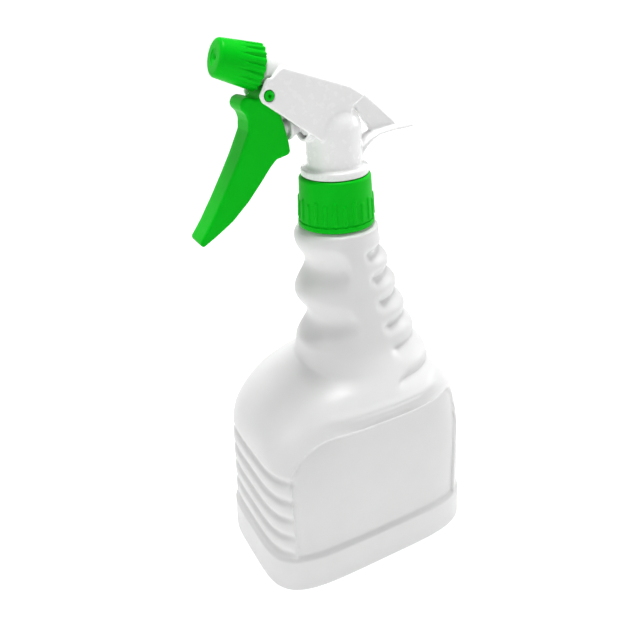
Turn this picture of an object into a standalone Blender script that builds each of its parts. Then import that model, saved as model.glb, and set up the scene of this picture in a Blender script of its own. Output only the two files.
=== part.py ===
"""Trigger spray bottle, built piece by piece.

Sizes are millimetres and the mesh functions turn them into Blender's metres. +Z is up along the neck,
the nozzle points along -X, and the origin is on the neck's axis at the foot of the bottle.
"""

import math

import bmesh
import bpy
import numpy as np
from mathutils import Matrix, Vector

MM = 0.001

# Clearances
GAP = 0.3  # between pieces that touch
RUNNING = 0.25  # around a piece that slides or turns
SINK = 0.4  # how far a joined shape runs into the one it joins

# Bottle
BODY_LENGTH = 115.0
BODY_DEPTH = 76.8
SHOULDER_HEIGHT = 92.0
GRIP_HEIGHT = 60.0  # from the foot of the grip to the collar
WALL = 1.1
BODY_SQUARENESS = 4.6
SKIRT_HEIGHT = 20.4
SKIRT_STEP = 0.9
FOOT_ROUND = 3.5
RIB_COUNT = 5
RIB_PITCH = 10.5
RIB_LOWEST = 25.0
RIB_DEPTH = 1.0
FINGER_COUNT = 2
FINGER_DEPTH = 6.0
SCALLOP_COUNT = 5
SCALLOP_DEPTH = 1.6
GRIP_FRONT = 21.0
GRIP_BACK_TOP = 21.4
GRIP_BACK_FOOT = 43.0
GRIP_HALF_DEPTH = 19.5
GRIP_TOP_RADIUS = 18.2

# Neck, its thread and the screw collar
NECK_RADIUS = 12.6
NECK_HEIGHT = 17.6
THREAD_PITCH = 4.2
THREAD_DEPTH = 1.1
THREAD_ROOT_WIDTH = 1.5
THREAD_CREST_WIDTH = 0.7
THREAD_TURNS = 1.5
COLLAR_HEIGHT = 21.5
COLLAR_BOTTOM_RADIUS = 17.0
COLLAR_TOP_RADIUS = 15.9
COLLAR_LIP = 2.0
COLLAR_BEAD = 2.2
COLLAR_RIBS = 24
COLLAR_RIB_DEPTH = 0.35
GASKET_THICKNESS = 1.2

# Column, its flange and the tube retainer
HEAD_LIFT = 2.0  # of the level that the head's heights count from, above the collar
COLUMN_RADIUS = 11.8
COLUMN_WALL = 1.9
COLUMN_BORE_HEIGHT = 12.8
FLANGE_RADIUS = 14.6
FLANGE_THICKNESS = 3.2
RETAINER_FLANGE = 1.5
BALL_RADIUS = 2.0
BALL_LIFT = 1.2
DIP_TUBE_RADIUS = 2.4
DIP_TUBE_BORE = 1.5
DIP_TUBE_LIFT = 9.0  # of its foot above the bottle's floor
STRAINER_RADIUS = 3.9
STRAINER_LENGTH = 10.0
STRAINER_SLOT = 0.9

# Pump
PUMP_HEIGHT = 20.5  # of the pump's axis above the head's level
PUMP_BORE = 5.7
PUMP_OUTSIDE = 7.0
PUMP_MOUTH = -14.8
PUMP_END = 4.5
PISTON_STROKE = 4.7
PISTON_STEM = 2.8
PISTON_NOSE = 3.0
PISTON_FLARE = 5.3
SEAL_THICKNESS = 1.5
SPRING_WIRE = 0.4
SPRING_TURNS = 4
PORT_RADIUS = 1.2
VENT_RADIUS = 0.8
VENT_X = -8.0

# Shroud, strut and tail of the head
SHROUD_HALF_WIDTH = 8.5
PLATE = 1.6
STRUT_THICKNESS = 3.0
TAIL_HALF_WIDTH = 7.0
TAIL_THICKNESS = 1.3
TAIL_REACH = 37.8
TAIL_HEIGHT = 14.3  # of the tail's top above the head's level

# Nozzle, along its own axis: s counts forwards from the cap's rear rim
NOZZLE_TILT = 18.0
NOZZLE_X = -31.8
NOZZLE_HEIGHT = 44.1  # of the rim's centre above the head's level
CAP_LENGTH = 17.6
CAP_REAR_RADIUS = 8.9
CAP_FRONT_RADIUS = 7.2
CAP_FRONT_ROUND = 1.5
CAP_FLUTES = 20
CAP_FLUTE_DEPTH = 0.45
CAP_BORE = 6.2
CAP_FACE = 4.4
ORIFICE_RADIUS = 0.5
SPIGOT_RADIUS = 5.0
SPIGOT_LENGTH = 11.1
NOZZLE_PITCH = 2.4
NOZZLE_THREAD_DEPTH = 0.8
NOZZLE_THREAD_TURNS = 1.5
NOZZLE_THREAD_START = 1.8
DELIVERY_BORE = 1.6
VALVE_BORE = 2.6
VALVE_DEPTH = 7.0
SEAL_RING_WIRE = 0.65
WASHER_THICKNESS = 1.2

# Trigger
PIVOT_X = -31.2
PIVOT_HEIGHT = 34.7  # above the head's level
PIVOT_RADIUS = 2.0
TRIGGER_HALF_WIDTH = 6.0
TRIGGER_WALL = 1.7

# Heights that follow from the sizes above
COLLAR_BOTTOM = SHOULDER_HEIGHT + 21.0 + GRIP_HEIGHT
COLLAR_TOP = COLLAR_BOTTOM + COLLAR_HEIGHT
HEAD_LEVEL = COLLAR_TOP + HEAD_LIFT
NECK_FOOT = COLLAR_BOTTOM - GAP - 0.2
LIP_BOTTOM = COLLAR_TOP - COLLAR_LIP
COLUMN_BOTTOM = LIP_BOTTOM - GAP
RETAINER_TOP_OF_FLANGE = COLUMN_BOTTOM - GAP
GASKET_TOP = RETAINER_TOP_OF_FLANGE - RETAINER_FLANGE - GAP
MOUTH = GASKET_TOP - GASKET_THICKNESS - GAP
COLUMN_BORE_TOP = COLUMN_BOTTOM + COLUMN_BORE_HEIGHT
COLUMN_BORE = COLUMN_RADIUS - COLUMN_WALL
PUMP_Z = HEAD_LEVEL + PUMP_HEIGHT
PIVOT = (PIVOT_X, 0.0, HEAD_LEVEL + PIVOT_HEIGHT)
PISTON_NOSE_X = PIVOT_X + 4.0 + GAP
NOZZLE = Matrix.Translation((NOZZLE_X, 0.0, HEAD_LEVEL + NOZZLE_HEIGHT)) @ Matrix.Rotation(
    math.radians(NOZZLE_TILT - 90.0), 4, "Y"
)
PUMP = Matrix.Translation((0.0, 0.0, PUMP_Z)) @ Matrix.Rotation(math.radians(90.0), 4, "Y")
UPRIGHT = Matrix.Identity(4)

WHITE = ((0.86, 0.86, 0.85), 0.30)
MILK = ((0.80, 0.81, 0.82), 0.45)
GREEN = ((0.0, 0.36, 0.015), 0.32)
NATURAL = ((0.72, 0.72, 0.70), 0.40)
RUBBER = ((0.05, 0.05, 0.05), 0.70)
STEEL = ((0.62, 0.62, 0.63), 0.25)


def clear_scene():
    for thing in list(bpy.data.objects):
        bpy.data.objects.remove(thing, do_unlink=True)


def material(name, finish, metallic=0.0):
    colour, roughness = finish
    made = bpy.data.materials.new(name)
    made.use_nodes = True
    shader = made.node_tree.nodes["Principled BSDF"]
    shader.inputs["Base Color"].default_value = (*colour, 1.0)
    shader.inputs["Roughness"].default_value = roughness
    shader.inputs["Metallic"].default_value = metallic
    return made


def solid(name, rings, finish, closed=False, frame=UPRIGHT, origin=(0.0, 0.0, 0.0), metallic=0.0):
    """A skin over rings of points. Its ends are capped, or joined when it is closed like a torus."""
    bm = bmesh.new()
    rows = [[bm.verts.new(frame @ Vector(p)) for p in ring] for ring in rings]
    count = len(rows[0])
    pairs = list(zip(rows, rows[1:])) + ([(rows[-1], rows[0])] if closed else [])
    for low, high in pairs:
        for i in range(count):
            j = (i + 1) % count
            bm.faces.new((low[i], low[j], high[j], high[i]))
    if not closed:
        bm.faces.new(list(reversed(rows[0])))
        bm.faces.new(rows[-1])
    return finish_mesh(name, bm, finish, origin, metallic)


def finish_mesh(name, bm, finish, origin=(0.0, 0.0, 0.0), metallic=0.0):
    bmesh.ops.remove_doubles(bm, verts=bm.verts, dist=1e-4)
    bmesh.ops.recalc_face_normals(bm, faces=bm.faces)
    bmesh.ops.translate(bm, vec=-Vector(origin), verts=bm.verts)
    bmesh.ops.scale(bm, vec=(MM, MM, MM), verts=bm.verts)
    mesh = bpy.data.meshes.new(name)
    bm.to_mesh(mesh)
    bm.free()
    mesh.shade_smooth()
    mesh.set_sharp_from_angle(angle=math.radians(35.0))
    mesh.materials.append(material(name, finish, metallic))
    made = bpy.data.objects.new(name, mesh)
    made.location = Vector(origin) * MM
    bpy.context.scene.collection.objects.link(made)
    return made


def circle(radius, z, count):
    steps = [2.0 * math.pi * i / count for i in range(count)]
    return [(radius * math.cos(t), radius * math.sin(t), z) for t in steps]


def turned(name, profile, finish, count=32, frame=UPRIGHT, closed=True, origin=(0.0, 0.0, 0.0), metallic=0.0):
    """A profile of (radius, height) turned about the frame's Z; closed when it goes round a hole."""
    rings = [circle(radius, z, count) for radius, z in profile]
    return solid(name, rings, finish, closed, frame, origin, metallic)


def plug(name, radius, low, high, frame=UPRIGHT, count=24):
    return turned(name, [(radius, low), (radius, high)], NATURAL, count, frame, closed=False)


def prism(name, outline, half_width, finish=WHITE, origin=(0.0, 0.0, 0.0), bevel=0.0):
    """A side outline of (x, z) points made solid between -half_width and +half_width in Y."""
    rings = [[(x, y, z) for x, z in outline] for y in (-half_width, half_width)]
    made = solid(name, rings, finish, origin=origin)
    if bevel:
        softened(made, bevel)
    return made


def softened(thing, width, segments=2):
    edge = thing.modifiers.new("Bevel", "BEVEL")
    edge.width = width * MM
    edge.segments = segments
    edge.limit_method = "ANGLE"
    edge.angle_limit = math.radians(35.0)


def joined(thing, *others):
    return combined(thing, others, "UNION")


def cut(thing, *others):
    return combined(thing, others, "DIFFERENCE")


def combined(thing, others, operation):
    for other in others:
        step = thing.modifiers.new(other.name, "BOOLEAN")
        step.operation = operation
        step.object = other
        step.solver = "EXACT"
        other.hide_render = True
        other.display_type = "WIRE"
    return thing


def glide(stations, z):
    """The smooth curve through (z, value) stations that never overshoots them, read at z."""
    zs, values = np.array(stations, float).T
    steps = np.diff(values) / np.diff(zs)
    slopes = np.concatenate([steps[:1], (steps[1:] + steps[:-1]) / 2.0, steps[-1:]])
    slopes[1:-1][steps[1:] * steps[:-1] <= 0.0] = 0.0
    limit = 3.0 * np.minimum(np.abs(np.append(steps, steps[-1])), np.abs(np.insert(steps, 0, steps[0])))
    slopes = np.clip(slopes, -limit, limit)
    z = float(np.clip(z, zs[0], zs[-1]))
    k = min(int(np.searchsorted(zs, z, "right")) - 1, len(zs) - 2)
    width = zs[k + 1] - zs[k]
    t = (z - zs[k]) / width
    return float(
        values[k] * (1 + 2 * t) * (1 - t) ** 2
        + slopes[k] * width * t * (1 - t) ** 2
        + values[k + 1] * t * t * (3 - 2 * t)
        + slopes[k + 1] * width * t * t * (t - 1)
    )


def helix_ridge(name, radius, depth, pitch, turns, start, root, crest, frame=UPRIGHT, per_turn=20):
    """A thread: a trapezium carried up a helix, fading out at both ends. A negative depth points inwards."""
    count = int(per_turn * turns) + 1
    side = math.copysign(1.0, depth)
    rings = []
    for i in range(count):
        share = i / (count - 1)
        angle = 2.0 * math.pi * turns * share
        z = start + pitch * turns * share
        rise = depth * min(1.0, 6.0 * share + 0.05, 6.0 * (1.0 - share) + 0.05)
        section = [
            (radius - side * SINK, -root / 2.0),
            (radius + rise, -crest / 2.0),
            (radius + rise, crest / 2.0),
            (radius - side * SINK, root / 2.0),
        ]
        rings.append([(r * math.cos(angle), r * math.sin(angle), z + dz) for r, dz in section])
    return solid(name, rings, NATURAL, frame=frame)


def coil(name, radius, wire, turns, low, high, finish, frame, origin):
    """A compression spring: round wire carried up a helix whose end turns lie closer together."""
    per_turn, sides = 12, 5
    count = turns * per_turn + 1
    rings = []
    for i in range(count):
        share = i / (count - 1)
        angle = 2.0 * math.pi * turns * share
        z = low + wire + (high - low - 2.0 * wire) * (share - 0.1 * math.sin(2.0 * math.pi * share))
        ring = []
        for k in range(sides):
            turn = 2.0 * math.pi * k / sides
            r = radius + wire * math.cos(turn)
            ring.append((r * math.cos(angle), r * math.sin(angle), z + wire * math.sin(turn)))
        rings.append(ring)
    return solid(name, rings, finish, frame=frame, origin=origin, metallic=1.0)


def ball(name, centre):
    bm = bmesh.new()
    bmesh.ops.create_icosphere(bm, subdivisions=3, radius=BALL_RADIUS)
    bmesh.ops.translate(bm, vec=centre, verts=bm.verts)
    return finish_mesh(name, bm, STEEL, centre, 1.0)


def bottle_section(z, count=28):
    """One level of the bottle: a superellipse whose reach to front, back and side follows the height."""
    level, half, depth = SHOULDER_HEIGHT, BODY_LENGTH / 2.0 - SKIRT_STEP, BODY_DEPTH / 2.0 - SKIRT_STEP
    front = glide([
        (0.0, half), (level - 25.0, half * 0.936), (level - 12.0, half * 0.918), (level - 3.5, half * 0.84),
        (level + 4.5, half * 0.695), (level + 9.5, half * 0.557), (level + 12.0, half * 0.442),
        (level + 15.0, GRIP_FRONT), (NECK_FOOT - 12.0, GRIP_FRONT), (NECK_FOOT - 5.0, GRIP_FRONT - 1.4),
        (NECK_FOOT - 1.5, GRIP_TOP_RADIUS), (NECK_FOOT, GRIP_TOP_RADIUS - 2.6),
    ], z)
    slope = (GRIP_BACK_FOOT - GRIP_BACK_TOP) / (NECK_FOOT - 12.0 - (level + 9.0))
    back = glide([
        (0.0, half), (level - 25.0, half * 0.945), (level - 7.0, half * 0.91), (level - 2.0, half * 0.866),
        (level + 3.0, half * 0.81), (level + 9.0, GRIP_BACK_FOOT), (level + 15.0, GRIP_BACK_FOOT - 6.0 * slope),
        (NECK_FOOT - 18.0, GRIP_BACK_TOP + 6.0 * slope), (NECK_FOOT - 12.0, GRIP_BACK_TOP),
        (NECK_FOOT - 6.0, GRIP_TOP_RADIUS + 0.6), (NECK_FOOT - 1.5, GRIP_TOP_RADIUS),
        (NECK_FOOT, GRIP_TOP_RADIUS - 2.6),
    ], z)
    side = glide([
        (0.0, depth), (level - 7.0, depth), (level + 1.0, depth * 0.99), (level + 5.0, depth * 0.955),
        (level + 10.0, depth * 0.865), (level + 16.0, depth * 0.74), (level + 23.0, depth * 0.625),
        (level + 33.0, GRIP_HALF_DEPTH * 1.1), (level + 48.0, GRIP_HALF_DEPTH), (NECK_FOOT - 12.0, GRIP_HALF_DEPTH * 0.95),
        (NECK_FOOT - 1.5, GRIP_TOP_RADIUS), (NECK_FOOT, GRIP_TOP_RADIUS - 2.6),
    ], z)
    power = glide([
        (0.0, BODY_SQUARENESS), (level - 28.0, BODY_SQUARENESS), (level - 12.0, 3.6), (level, 3.0),
        (level + 10.0, 2.6), (level + 23.0, 2.3), (NECK_FOOT - 8.0, 2.0), (NECK_FOOT, 2.0),
    ], z)
    inset = foot_inset(z)
    centre, reach = (back - front) / 2.0, (back + front) / 2.0
    wrap = (0.72, 0.2) if z < SHOULDER_HEIGHT else (0.1, 0.6)
    ring = []
    for i in range(count):
        angle = 2.0 * math.pi * (i + 0.5) / count
        across = math.copysign(abs(math.cos(angle)) ** (2.0 / power), math.cos(angle))
        aside = math.copysign(abs(math.sin(angle)) ** (2.0 / power), math.sin(angle))
        facing = min(1.0, max(0.0, (abs(across) - wrap[0]) / wrap[1]))
        facing = facing * facing * (3.0 - 2.0 * facing)
        dent = facing * (front_dent(z) if across < 0.0 else -back_dent(z))
        ring.append((centre + (reach - inset) * across + dent, (side - inset) * aside, z))
    return ring


def foot_inset(z):
    """How far the outline stands in: rounded at the foot, and standing out (below zero) at the skirt."""
    if z < FOOT_ROUND:
        return FOOT_ROUND - math.sqrt(FOOT_ROUND**2 - (FOOT_ROUND - z) ** 2) - SKIRT_STEP
    return -SKIRT_STEP * min(1.0, max(0.0, 1.0 - (z - SKIRT_HEIGHT) / 0.8))


def front_dent(z):
    """Finger grooves in the grip, and the ribs' valleys in the narrow front face."""
    fingers_top = NECK_FOOT - 3.2
    pitch = GRIP_HEIGHT * 0.44
    depth = 0.0
    for k in range(FINGER_COUNT):
        offset = (z - (fingers_top - pitch * (k + 0.5))) / pitch
        if abs(offset) < 0.5:
            depth = FINGER_DEPTH * math.cos(math.pi * offset) ** 2
    rib = (z - RIB_LOWEST) / RIB_PITCH
    if -0.5 < rib < RIB_COUNT - 0.5:
        depth = RIB_DEPTH * abs(math.cos(math.pi * rib)) ** 3
    return depth


def back_dent(z):
    """Notches between the scallops down the back of the grip."""
    top, low = NECK_FOOT - 12.0, SHOULDER_HEIGHT + 9.0
    share = (top - z) / (top - low) * SCALLOP_COUNT
    if not 0.0 < share < SCALLOP_COUNT:
        return 0.0
    return SCALLOP_DEPTH * abs(math.cos(math.pi * share)) ** 3


def bottle_levels():
    ribs = [RIB_LOWEST + RIB_PITCH * (k / 2.0 - 0.5) for k in range(2 * RIB_COUNT + 1)]
    shoulder = [SHOULDER_HEIGHT + step for step in (-8.0, -4.0, 0.0, 3.5, 7.0, 10.5, 13.5, 16.0)]
    start, end = SHOULDER_HEIGHT + 19.0, NECK_FOOT - 1.5
    count = int(GRIP_HEIGHT / 3.5)
    grip = [start + (end - start) * k / count for k in range(count + 1)] + [NECK_FOOT - 0.5, NECK_FOOT]
    foot = [0.0, FOOT_ROUND * 0.13, FOOT_ROUND * 0.5, FOOT_ROUND, SKIRT_HEIGHT, SKIRT_HEIGHT + 0.8]
    return foot + [z for z in ribs if z > SKIRT_HEIGHT + 1.2] + shoulder + grip


def make_bottle():
    rings = [bottle_section(z) for z in bottle_levels()]
    foot = rings[0]
    shrink = [[(x * share, y * share, height) for x, y, _ in foot] for share, height in (
        (0.22, 0.0), (0.30, 0.0), (0.36, 1.0), (0.74, 1.0), (0.80, 0.0),
    )]
    count = len(foot)
    centre = rings[-1]
    start = math.atan2(centre[0][1], centre[0][0])
    for radius, z in (
        (NECK_RADIUS + 1.6, NECK_FOOT + 0.1), (NECK_RADIUS, NECK_FOOT + 1.4), (NECK_RADIUS, MOUTH),
    ):
        rings.append([
            (radius * math.cos(start + 2 * math.pi * i / count), radius * math.sin(start + 2 * math.pi * i / count), z)
            for i in range(count)
        ])
    bottle = solid("bottle", shrink + rings, MILK)
    bm = bmesh.new()
    bm.from_mesh(bottle.data)
    top = max(bm.faces, key=lambda face: face.calc_center_median().z + 10.0 * (len(face.verts) > 4))
    bmesh.ops.delete(bm, geom=[top], context="FACES_ONLY")
    bm.to_mesh(bottle.data)
    bm.free()
    shell = bottle.modifiers.new("Wall", "SOLIDIFY")
    shell.thickness = WALL * MM
    shell.offset = -1.0
    shell.use_even_offset = True
    thread = helix_ridge(
        "bottle_thread", NECK_RADIUS, THREAD_DEPTH, THREAD_PITCH, THREAD_TURNS,
        MOUTH - 2.2 - THREAD_PITCH * THREAD_TURNS, THREAD_ROOT_WIDTH, THREAD_CREST_WIDTH,
    )
    return joined(bottle, thread)


def make_collar():
    """A flared cap with shallow ribs on its lower part and a bead round its foot."""
    count = COLLAR_RIBS * 3
    flare = COLLAR_BOTTOM_RADIUS - COLLAR_TOP_RADIUS
    rib_top = COLLAR_BOTTOM + COLLAR_HEIGHT * 0.62
    levels = [0.0, 0.6, COLLAR_BEAD, COLLAR_BEAD + 0.5, COLLAR_HEIGHT * 0.5, COLLAR_HEIGHT * 0.62,
              COLLAR_HEIGHT * 0.67, COLLAR_HEIGHT - 1.0, COLLAR_HEIGHT - 0.3, COLLAR_HEIGHT]
    insets = [0.35, 0.0, 0.0, 0.45, 0.45, 0.45, 0.45, 0.45, 0.75, 1.4]
    rings = []
    for level, inset in zip(levels, insets):
        z = COLLAR_BOTTOM + level
        radius = COLLAR_BOTTOM_RADIUS - flare * (level / COLLAR_HEIGHT) ** 0.8 - inset
        ribbed = COLLAR_BEAD < level and z <= rib_top
        ring = []
        for i in range(count):
            angle = 2.0 * math.pi * i / count
            tall = (i // 3) % 2 == 0 or z < rib_top - 0.5
            r = radius + (COLLAR_RIB_DEPTH if ribbed and tall and i % 3 == 0 else 0.0)
            ring.append((r * math.cos(angle), r * math.sin(angle), z))
        rings.append(ring)
    hole = COLUMN_RADIUS + RUNNING + 0.15
    cavity = NECK_RADIUS + THREAD_DEPTH + 0.7
    rings.append(circle(hole, COLLAR_TOP, count))
    rings.append(circle(hole, LIP_BOTTOM, count))
    rings.append(circle(cavity, LIP_BOTTOM, count))
    rings.append(circle(cavity, COLLAR_BOTTOM, count))
    collar = solid("screw_collar", rings, GREEN, closed=True)
    thread = helix_ridge(
        "collar_thread", cavity, -THREAD_DEPTH, THREAD_PITCH, THREAD_TURNS,
        MOUTH - 2.2 - THREAD_PITCH * (THREAD_TURNS + 0.5), THREAD_ROOT_WIDTH, THREAD_CREST_WIDTH,
    )
    return joined(collar, thread)


def make_gasket():
    low, high = GASKET_TOP - GASKET_THICKNESS, GASKET_TOP
    inner, outer = NECK_RADIUS - 2.0, NECK_RADIUS + 0.3
    turned("neck_gasket", [(outer, low), (outer, high), (inner, high), (inner, low)], RUBBER, 40)


def make_retainer():
    """Plug pressed into the column: it seats the lower ball, holds the dip tube and passes the vent air."""
    top = COLUMN_BORE_TOP - GAP
    flange_low = RETAINER_TOP_OF_FLANGE - RETAINER_FLANGE
    stem_low = flange_low - 7.0
    body = COLUMN_BORE - GAP
    stem = DIP_TUBE_RADIUS + 1.7
    seat = suction_seat()
    cage = BALL_RADIUS + 0.5
    profile = [
        (stem, stem_low), (stem, flange_low - 1.0), (stem + 1.0, flange_low), (NECK_RADIUS + 0.4, flange_low),
        (NECK_RADIUS + 0.4, RETAINER_TOP_OF_FLANGE), (body, RETAINER_TOP_OF_FLANGE), (body, top - 0.6),
        (body - 0.6, top), (cage, top), (cage, seat + 1.4), (PORT_RADIUS, seat), (PORT_RADIUS, seat - 2.2),
        (DIP_TUBE_RADIUS + 0.15, seat - 2.2), (DIP_TUBE_RADIUS + 0.15, stem_low),
    ]
    retainer = turned("tube_retainer", profile, NATURAL, 30)
    vent = plug("retainer_vent", VENT_RADIUS, flange_low - 1.0, top + 1.0, vertical_at(VENT_X), 12)
    return cut(retainer, vent)


def suction_seat():
    """Height of the small end of the lower ball's seat."""
    return COLUMN_BORE_TOP - BALL_LIFT - 2.0 * BALL_RADIUS - 0.9


def vertical_at(x):
    return Matrix.Translation((x, 0.0, 0.0))


def make_dip_tube():
    low, high = WALL + DIP_TUBE_LIFT, suction_seat() - 2.2 - GAP
    profile = [(DIP_TUBE_RADIUS, low), (DIP_TUBE_RADIUS, high), (DIP_TUBE_BORE, high), (DIP_TUBE_BORE, low)]
    turned("dip_tube", profile, NATURAL, 20)


def make_strainer():
    """A slotted cup pushed over the foot of the dip tube."""
    low = WALL + DIP_TUBE_LIFT - 5.0
    high = low + STRAINER_LENGTH
    inner = DIP_TUBE_RADIUS + 0.15
    profile = [
        (0.5, low), (STRAINER_RADIUS - 0.6, low), (STRAINER_RADIUS, low + 0.6), (STRAINER_RADIUS, high - 0.5),
        (STRAINER_RADIUS - 0.5, high), (inner, high), (inner, low + 4.7), (DIP_TUBE_BORE, low + 4.7),
        (DIP_TUBE_BORE, low + 1.2), (0.5, low + 1.2),
    ]
    strainer = turned("dip_strainer", profile, NATURAL, 24)
    slots = []
    for k in range(2):
        slot = prism(f"strainer_slot_{k}", box_outline(-8.0, 8.0, low + 1.6, low + 4.0), STRAINER_SLOT / 2.0)
        slot.rotation_euler.z = math.radians(45.0 + 90.0 * k)
        slots.append(slot)
    return cut(strainer, *slots)


def box_outline(x0, x1, z0, z1):
    return [(x0, z0), (x1, z0), (x1, z1), (x0, z1)]


def raised(points):
    """Side outline points given as (x, height above the head's level)."""
    return [(x, HEAD_LEVEL + height) for x, height in points]


def shroud_outline():
    return raised([
        (-31.7, 41.1), (-29.9, 40.9), (-25.0, 44.4), (4.0, 34.2), (11.2, 29.6), (5.4, 26.4), (2.5, 18.0),
        (-7.0, 13.7), (-10.0, 14.3), (-34.2, 32.4), (-35.2, 34.9),
    ])


def make_head():
    """The white moulding: shroud, delivery tube, pump barrel, column, strut and tail in one piece."""
    head = prism("spray_head", shroud_outline(), SHROUD_HALF_WIDTH, bevel=0.7)
    inside = SHROUD_HALF_WIDTH - PLATE
    pocket = prism("head_pocket", raised([
        (-42.0, 8.0), (-42.0, 54.0), (-27.5, 54.0), (-25.2, 44.4 - PLATE - 0.2), (0.5, 33.6), (0.5, 8.0),
    ]), inside)
    column = turned("head_column", column_profile(), WHITE, 40, closed=False)
    barrel = plug("head_barrel", PUMP_OUTSIDE, PUMP_MOUTH, PUMP_END + 2.0, PUMP, 32)
    strut = prism("head_strut", raised([
        (1.0, 32.0), (8.8, 33.2), (15.7, 28.2), (28.6, 17.1), (31.5, TAIL_HEIGHT - 0.5),
        (17.6, TAIL_HEIGHT - 0.5), (9.8, 24.5), (2.0, 26.0),
    ]), STRUT_THICKNESS / 2.0, bevel=0.5)
    cut(head, pocket)
    joined(head, column, make_tube_outside(), barrel, strut, make_tail())
    joined(head, *spigot_shapes())
    return cut(head, *head_passages())


def column_profile():
    """Foot inside the collar, flange over it, and a round dome that shows beside the shroud."""
    flange_low = COLLAR_TOP + GAP
    flange_top = flange_low + FLANGE_THICKNESS
    profile = [
        (COLUMN_RADIUS, COLUMN_BOTTOM), (COLUMN_RADIUS, flange_low), (FLANGE_RADIUS, flange_low),
        (FLANGE_RADIUS, flange_top - 0.4), (FLANGE_RADIUS - 0.4, flange_top), (COLUMN_RADIUS + 0.8, flange_top),
        (COLUMN_RADIUS, flange_top + 0.8),
    ]
    dome = PUMP_Z - 4.0
    steps = 9
    for k in range(steps):
        angle = 0.5 * math.pi * k / steps
        profile.append((COLUMN_RADIUS * math.cos(angle), dome + COLUMN_RADIUS * math.sin(angle)))
    profile.append((0.6, dome + COLUMN_RADIUS))
    return profile


def make_tube_outside():
    """Delivery tube: a half-round ridge above its axis and a flatter half below, thinning to the rear."""
    stations = [(-1.0, 6.4, 5.0), (-5.0, 6.5, 5.0), (-16.0, 5.6, 4.9), (-27.0, 4.7, 4.6), (-36.0, 3.4, 3.7),
                (-42.0, 2.0, 2.8)]
    count = 32
    rings = []
    for s, above, below in stations:
        ring = []
        for i in range(count):
            angle = 2.0 * math.pi * i / count
            across = math.sin(angle) * above
            up = math.cos(angle) * (above if math.cos(angle) > 0.0 else below)
            ring.append((up, across, s))
        rings.append(ring)
    return solid("head_tube", rings, WHITE, frame=NOZZLE)


def make_tail():
    """Curved blade that rises from the back of the column and runs out level over the hand."""
    top = HEAD_LEVEL + TAIL_HEIGHT
    path = [(9.0, -8.5), (11.5, -4.6), (14.5, -2.2), (18.5, -0.7), (24.0, -0.1), (31.0, 0.0), (TAIL_REACH, -0.1)]
    widths = [0.9, 1.0, 1.0, 0.97, 0.9, 0.78, 0.6]
    rings = []
    for (x, drop), width in zip(path, widths):
        half = TAIL_HALF_WIDTH * width
        lean = 0.8 * TAIL_THICKNESS * min(1.0, max(0.0, -drop - 0.5))
        z = top + drop
        rings.append([
            (x, -half, z), (x + lean, -half, z - TAIL_THICKNESS),
            (x + lean, half, z - TAIL_THICKNESS), (x, half, z),
        ])
    blade = solid("head_tail", rings, WHITE)
    softened(blade, TAIL_THICKNESS * 0.35)
    return blade


def spigot_shapes():
    """The threaded end that carries the cap, with its groove for the seal ring."""
    groove = SPIGOT_LENGTH - 2.9
    half = SEAL_RING_WIRE + 0.15
    spigot = turned("head_spigot", [
        (SPIGOT_RADIUS, -9.0), (SPIGOT_RADIUS, groove - half), (SPIGOT_RADIUS - 0.8, groove - half),
        (SPIGOT_RADIUS - 0.8, groove + half), (SPIGOT_RADIUS, groove + half), (SPIGOT_RADIUS, SPIGOT_LENGTH - 0.4),
        (SPIGOT_RADIUS - 0.4, SPIGOT_LENGTH),
    ], WHITE, 32, NOZZLE, closed=False)
    thread = helix_ridge(
        "head_thread", SPIGOT_RADIUS, NOZZLE_THREAD_DEPTH, NOZZLE_PITCH, NOZZLE_THREAD_TURNS,
        NOZZLE_THREAD_START, 0.9, 0.4, NOZZLE, 16,
    )
    return spigot, thread


def head_passages():
    """Everything that is hollow in the head: bores, ports, the vent and the trigger's two pivot holes."""
    delivery_end = (PUMP_END - 2.0 - NOZZLE_X) / math.cos(math.radians(NOZZLE_TILT)) + 1.5
    port_top = HEAD_LEVEL + NOZZLE_HEIGHT - (PUMP_END - 2.0 - NOZZLE_X) * math.tan(math.radians(NOZZLE_TILT))
    bore = plug("column_bore", COLUMN_BORE, COLUMN_BOTTOM - 2.0, COLUMN_BORE_TOP, count=32)
    inlet = plug("inlet_port", PORT_RADIUS, COLUMN_BORE_TOP - 1.0, PUMP_Z, vertical_at(0.0), 16)
    outlet = plug("outlet_port", PORT_RADIUS, PUMP_Z, port_top, vertical_at(PUMP_END - 2.0), 16)
    vent = plug("vent_port", VENT_RADIUS, COLUMN_BORE_TOP - 1.0, PUMP_Z, vertical_at(VENT_X), 12)
    chamber = plug("pump_bore", PUMP_BORE, PUMP_MOUTH - 3.0, PUMP_END, PUMP, 32)
    delivery = plug("delivery_bore", DELIVERY_BORE, -delivery_end, SPIGOT_LENGTH, NOZZLE, 16)
    valve = plug("valve_bore", VALVE_BORE, -VALVE_DEPTH, SPIGOT_LENGTH + 2.0, NOZZLE, 24)
    pivot = plug("pivot_hole", PIVOT_RADIUS + RUNNING, -20.0, 20.0, pivot_frame(), 24)
    return bore, chamber, inlet, outlet, vent, delivery, valve, pivot


def pivot_frame():
    return Matrix.Translation(PIVOT) @ Matrix.Rotation(math.radians(90.0), 4, "X")


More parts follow.
